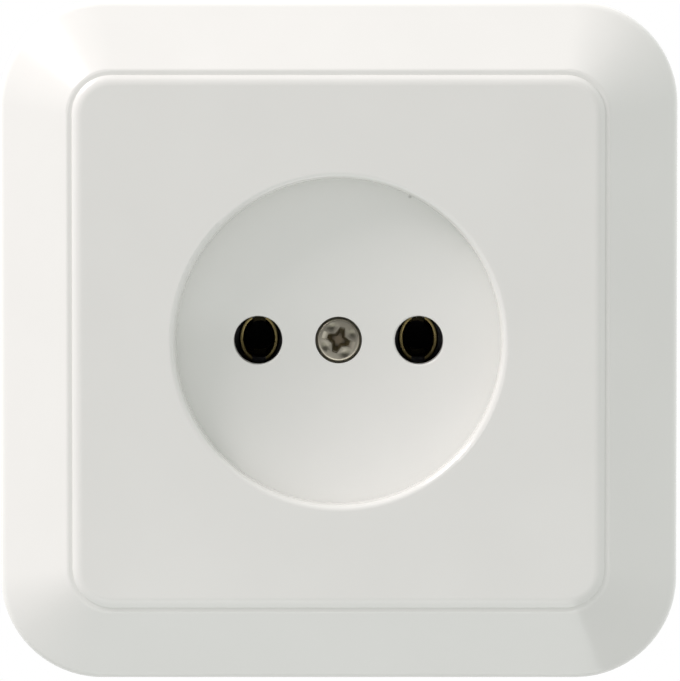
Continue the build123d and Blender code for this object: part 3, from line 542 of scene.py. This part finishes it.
def wound_shank(**sizes):
    """The tree's result for one screw, as a plain mesh."""
    holder = bpy.data.objects.new("wound_shank", bpy.data.meshes.new("wound_shank"))
    scene.collection.objects.link(holder)
    modifier = holder.modifiers.new("thread", "NODES")
    modifier.node_group = WOUND_THREAD
    for socket in WOUND_THREAD.interface.items_tree:
        if socket.in_out == "INPUT":
            modifier[socket.identifier] = sizes[socket.name]
    graph = bpy.context.evaluated_depsgraph_get()
    mesh = bpy.data.meshes.new_from_object(holder.evaluated_get(graph))
    bpy.data.objects.remove(holder)
    return mesh


WOUND_THREAD = thread_tree()
print("thread tree:", len(WOUND_THREAD.nodes), "nodes")

# %% [markdown]
# ## Screws with their threads
# The head is taken over from the solid: a merged copy of its mesh, cut off at the seat. The cut leaves a
# ring, and the thread is wound with as many sides as that ring has points, so that both weld into one
# closed screw.

# %% Threaded screws
SHARP_FROM = math.radians(17)


def head_only(source, into_local):
    """The part of a screw's mesh in front of its seat, merged, in the screw's own frame."""
    body = bmesh.new()
    points = [body.verts.new(into_local @ vertex.co) for vertex in source.vertices]
    for face in source.polygons:
        body.faces.new([points[index] for index in face.vertices])
    bmesh.ops.remove_doubles(body, verts=body.verts[:], dist=WELD)
    shank = [face for face in body.faces if max(vertex.co.y for vertex in face.verts) > WELD]
    bmesh.ops.delete(body, geom=shank, context="FACES")
    return body


def threaded_screw(name, thread, pitch, head_height, faces_back):
    """One screw: its head from the solid, its shank wound by the tree."""
    node = nodes[name]
    low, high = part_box(name)
    seat = high.y - head_height * MM if faces_back else low.y + head_height * MM
    length = seat - low.y if faces_back else high.y - seat
    spot = Matrix.Translation(((low.x + high.x) / 2, seat, (low.z + high.z) / 2))
    if faces_back:
        spot = spot @ Matrix.Rotation(math.pi, 4, "Z")
    body = head_only(node.data, spot.inverted())
    ring = [vertex for vertex in body.verts if any(edge.is_boundary for edge in vertex.link_edges)]
    turns = math.ceil(length / (pitch * MM))
    start = math.atan2(ring[0].co.x, ring[0].co.z)
    finish = node.material_slots[0].material
    # one spare turn at each end is held at the seat and at the tip
    rows = LINES_PER_TURN * (turns + 2) + 1
    shank = wound_shank(Radius=thread / 2 * MM, Pitch=pitch * MM, Length=length, Start=start,
                        Sides=len(ring), Rows=rows, Finish=finish)
    body.from_mesh(shank)
    bmesh.ops.remove_doubles(body, verts=body.verts[:], dist=WELD)
    bmesh.ops.holes_fill(body, edges=[edge for edge in body.edges if edge.is_boundary], sides=0)
    bmesh.ops.recalc_face_normals(body, faces=body.faces[:])
    open_edges = sum(not edge.is_manifold for edge in body.edges)
    body.transform(spot)
    mesh = bpy.data.meshes.new(name + "_threaded")
    body.to_mesh(mesh)
    body.free()
    mesh.materials.clear()
    mesh.materials.append(finish)
    mesh.polygons.foreach_set("use_smooth", [True] * len(mesh.polygons))
    mesh.set_sharp_from_angle(angle=SHARP_FROM)
    piece = bpy.data.objects.new(mesh.name, mesh)
    scene.collection.objects.link(piece)
    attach(piece, name if name in frame["bodies"] else "socket")
    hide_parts(name)
    print(name, len(ring), "sides,", turns, "turns,", len(mesh.polygons), "faces,",
          open_edges, "open edges")


# name, thread and pitch and head height in millimetres, and whether the head faces the back
SCREW_KINDS = (
    ("cover_screw", 3.0, 0.5, 1.8, False),
    ("claw_screw", 3.0, 0.5, 2.0, False),
    ("terminal_screw", 3.5, 0.6, 2.0, True),
    ("rear_cover_screw", 2.2, 0.6, 1.4, True),
)
for kind, *sizes in SCREW_KINDS:
    for name in sorted(nodes):
        if name.startswith(kind) and not name.endswith("nut"):
            threaded_screw(name, *sizes)

# %% [markdown]
# ## The studio
# The cover was lit by a large soft lamp from the upper left, with pale surroundings. White plastic shows
# this in two ways: each flat of the frame has its own tone, and the rounded corners mirror the lamp. The
# world is a little brighter above than below. The white backdrop lights the outer edges from behind, so
# that they fade into it. What the camera sees of the world, directly or in a mirror, is plain white.

# %% World
ROOM_LIGHT_BELOW = 0.685
ROOM_LIGHT_ABOVE = 0.785
BACKDROP_LIGHT = 1.4
BACKDROP_START = 0.15
BACKDROP_FULL = 0.5


def seen_plainly(tree, rays):
    """One for rays from the camera, in mirrors and through glass."""
    direct = sums(tree, "MAXIMUM", rays["Is Camera Ray"], rays["Is Glossy Ray"])
    return sums(tree, "MAXIMUM", direct, rays["Is Transmission Ray"])


world = bpy.data.worlds.new("pale_room")
world.use_nodes = True
scene.world = world
tree = world.node_tree
tree.nodes.clear()
rays = put(tree, "ShaderNodeLightPath").outputs
towards = put(tree, "ShaderNodeSeparateXYZ", Vector=put(tree, "ShaderNodeTexCoord").outputs["Generated"])
around = ranged(tree, towards.outputs["Z"], -1, 1, ROOM_LIGHT_BELOW, ROOM_LIGHT_ABOVE)
behind = ranged(tree, towards.outputs["Y"], BACKDROP_START, BACKDROP_FULL, 0.0, BACKDROP_LIGHT)
level = sums(tree, "ADD", around, behind)
room = put(tree, "ShaderNodeBackground", Color=colour(1, 1, 1), Strength=level)
backdrop = put(tree, "ShaderNodeBackground", Color=colour(1, 1, 1), Strength=1.0)
choice = put(tree, "ShaderNodeMixShader")
fill(tree, choice.inputs[0], seen_plainly(tree, rays))
fill(tree, choice.inputs[1], room.outputs[0])
fill(tree, choice.inputs[2], backdrop.outputs[0])
put(tree, "ShaderNodeOutputWorld", Surface=choice.outputs[0])
print("room light", ROOM_LIGHT_BELOW, "to", ROOM_LIGHT_ABOVE)

# %% [markdown]
# ## The lamp
# One softbox gives the picture its shape. It stands far to the upper left, so low over the cover that the
# dish's wall shades half of the bowl. Its size decides two things at once: how softly that shade ends,
# and how wide the highlight on the upper left corner is. A sun lamp would make both of them hard. The
# azimuth is measured around the camera's line, from straight up towards the left, and the tilt away from
# that line. The width runs around the line.

# %% Lamp
LAMP_AIM = Vector((0, -5, 0)) * MM
LAMP_AZIMUTH = math.radians(43.5)
LAMP_TILT = math.radians(76)
LAMP_DISTANCE = 1.0
LAMP_WIDTH = 0.28
LAMP_HEIGHT = 0.6
LAMP_RADIANCE = 14.0
LAMP_TINT = (1.0, 0.9, 0.94)

reach = math.sin(LAMP_TILT)
away = Vector((-math.sin(LAMP_AZIMUTH) * reach, -math.cos(LAMP_TILT), math.cos(LAMP_AZIMUTH) * reach))
side = Vector((0, 1, 0)).cross(away).normalized()
turn = Matrix((side, away.cross(side), away)).transposed()
softbox = bpy.data.lights.new("key_softbox", "AREA")
softbox.shape = "RECTANGLE"
softbox.size = LAMP_WIDTH
softbox.size_y = LAMP_HEIGHT
softbox.energy = LAMP_RADIANCE * math.pi * LAMP_WIDTH * LAMP_HEIGHT
softbox.color = LAMP_TINT
lamp = bpy.data.objects.new("key_softbox", softbox)
lamp.matrix_world = Matrix.Translation(LAMP_AIM + LAMP_DISTANCE * away) @ turn.to_4x4()
scene.collection.objects.link(lamp)
print("softbox:", round(softbox.energy, 2), "W")

# %% [markdown]
# ## Cards
# Metal and glossy plastic look like what they mirror. A studio hangs cards around the part for that. A
# pale card below shows in the lower edges of the frame, and a large dark one behind the camera gives the
# screw and the brass their contrast. Only mirror rays see them, so that they leave the even light on the
# plastic alone.

# %% Cards that only mirrors see
LOW_CARD = ((-250, -90, -70), (40, -90, -70), (40, -2, -70), (-250, -2, -70))
LOW_CARD_FADE = (-80 * MM, -30 * MM)
LOW_CARD_GLOW = (1.0, 2.6)
DARK_CARD = ((-950, -750, -900), (950, -750, -900), (950, -750, 960), (-950, -750, 960))
DARK_CARD_GLOW = 0.06


def card(name, corners, glow):
    """A flat card that shows in reflections and gives no other light."""
    sheet = bpy.data.meshes.new(name)
    sheet.from_pydata([Vector(corner) * MM for corner in corners], [], [(0, 1, 2, 3)])
    item = bpy.data.objects.new(name, sheet)
    scene.collection.objects.link(item)
    for kind in ("camera", "diffuse", "transmission", "volume_scatter", "shadow"):
        setattr(item, "visible_" + kind, False)
    paint = bpy.data.materials.new(name)
    paint.use_nodes = True
    tree = paint.node_tree
    tree.nodes.clear()
    place = put(tree, "ShaderNodeSeparateXYZ", Vector=put(tree, "ShaderNodeTexCoord").outputs["Object"])
    light = put(tree, "ShaderNodeEmission", Color=colour(1, 1, 1))
    fill(tree, light.inputs["Strength"], glow(tree, place.outputs["X"]))
    put(tree, "ShaderNodeOutputMaterial", Surface=light.outputs[0])
    sheet.materials.append(paint)
    print(name, "made")


card("low_card", LOW_CARD, lambda tree, x: ranged(tree, x, *LOW_CARD_FADE, *LOW_CARD_GLOW))
card("dark_card", DARK_CARD, lambda tree, x: DARK_CARD_GLOW)

# %% [markdown]
# ## The floor
# The part hangs a little above a sheet of pale paper. Near the part a good half of what the camera sees
# there is matte paper with the part's shadow on it. Further out it goes over into the white of the
# backdrop, so that no horizon shows. A part on a wall has no floor close by to dim the light from below,
# so diffuse rays don't see this one.

# %% Floor
FLOOR_Z = -75 * MM
FLOOR_SIZE = 3.0
FLOOR_TONE = 0.48
FADE_START = 120 * MM
FADE_END = 280 * MM
WHITE_NEAR_PART = 0.45
half = FLOOR_SIZE / 2
corners = [(x, y, FLOOR_Z) for x, y in ((-half, -half), (half, -half), (half, half), (-half, half))]
sheet = bpy.data.meshes.new("studio_floor")
sheet.from_pydata(corners, [], [(0, 1, 2, 3)])
floor = bpy.data.objects.new("studio_floor", sheet)
scene.collection.objects.link(floor)
paper = bpy.data.materials.new("floor_paper")
paper.use_nodes = True
tree = paper.node_tree
tree.nodes.clear()
rays = put(tree, "ShaderNodeLightPath").outputs
place = put(tree, "ShaderNodeTexCoord").outputs["Object"]
far = put(tree, "ShaderNodeVectorMath", {"operation": "LENGTH"}, Vector=place).outputs["Value"]
fade = ranged(tree, far, FADE_START, FADE_END, WHITE_NEAR_PART, 1.0)
matte = put(tree, "ShaderNodeBsdfDiffuse", Color=colour(FLOOR_TONE, FLOOR_TONE, FLOOR_TONE))
bare = put(tree, "ShaderNodeEmission", Color=colour(1, 1, 1), Strength=1.0)
choice = put(tree, "ShaderNodeMixShader")
fill(tree, choice.inputs[0], sums(tree, "MULTIPLY", seen_plainly(tree, rays), fade))
fill(tree, choice.inputs[1], matte.outputs[0])
fill(tree, choice.inputs[2], bare.outputs[0])
put(tree, "ShaderNodeOutputMaterial", Surface=choice.outputs[0])
sheet.materials.append(paper)
floor.visible_diffuse = False
print("floor at", round(FLOOR_Z / MM), "mm")
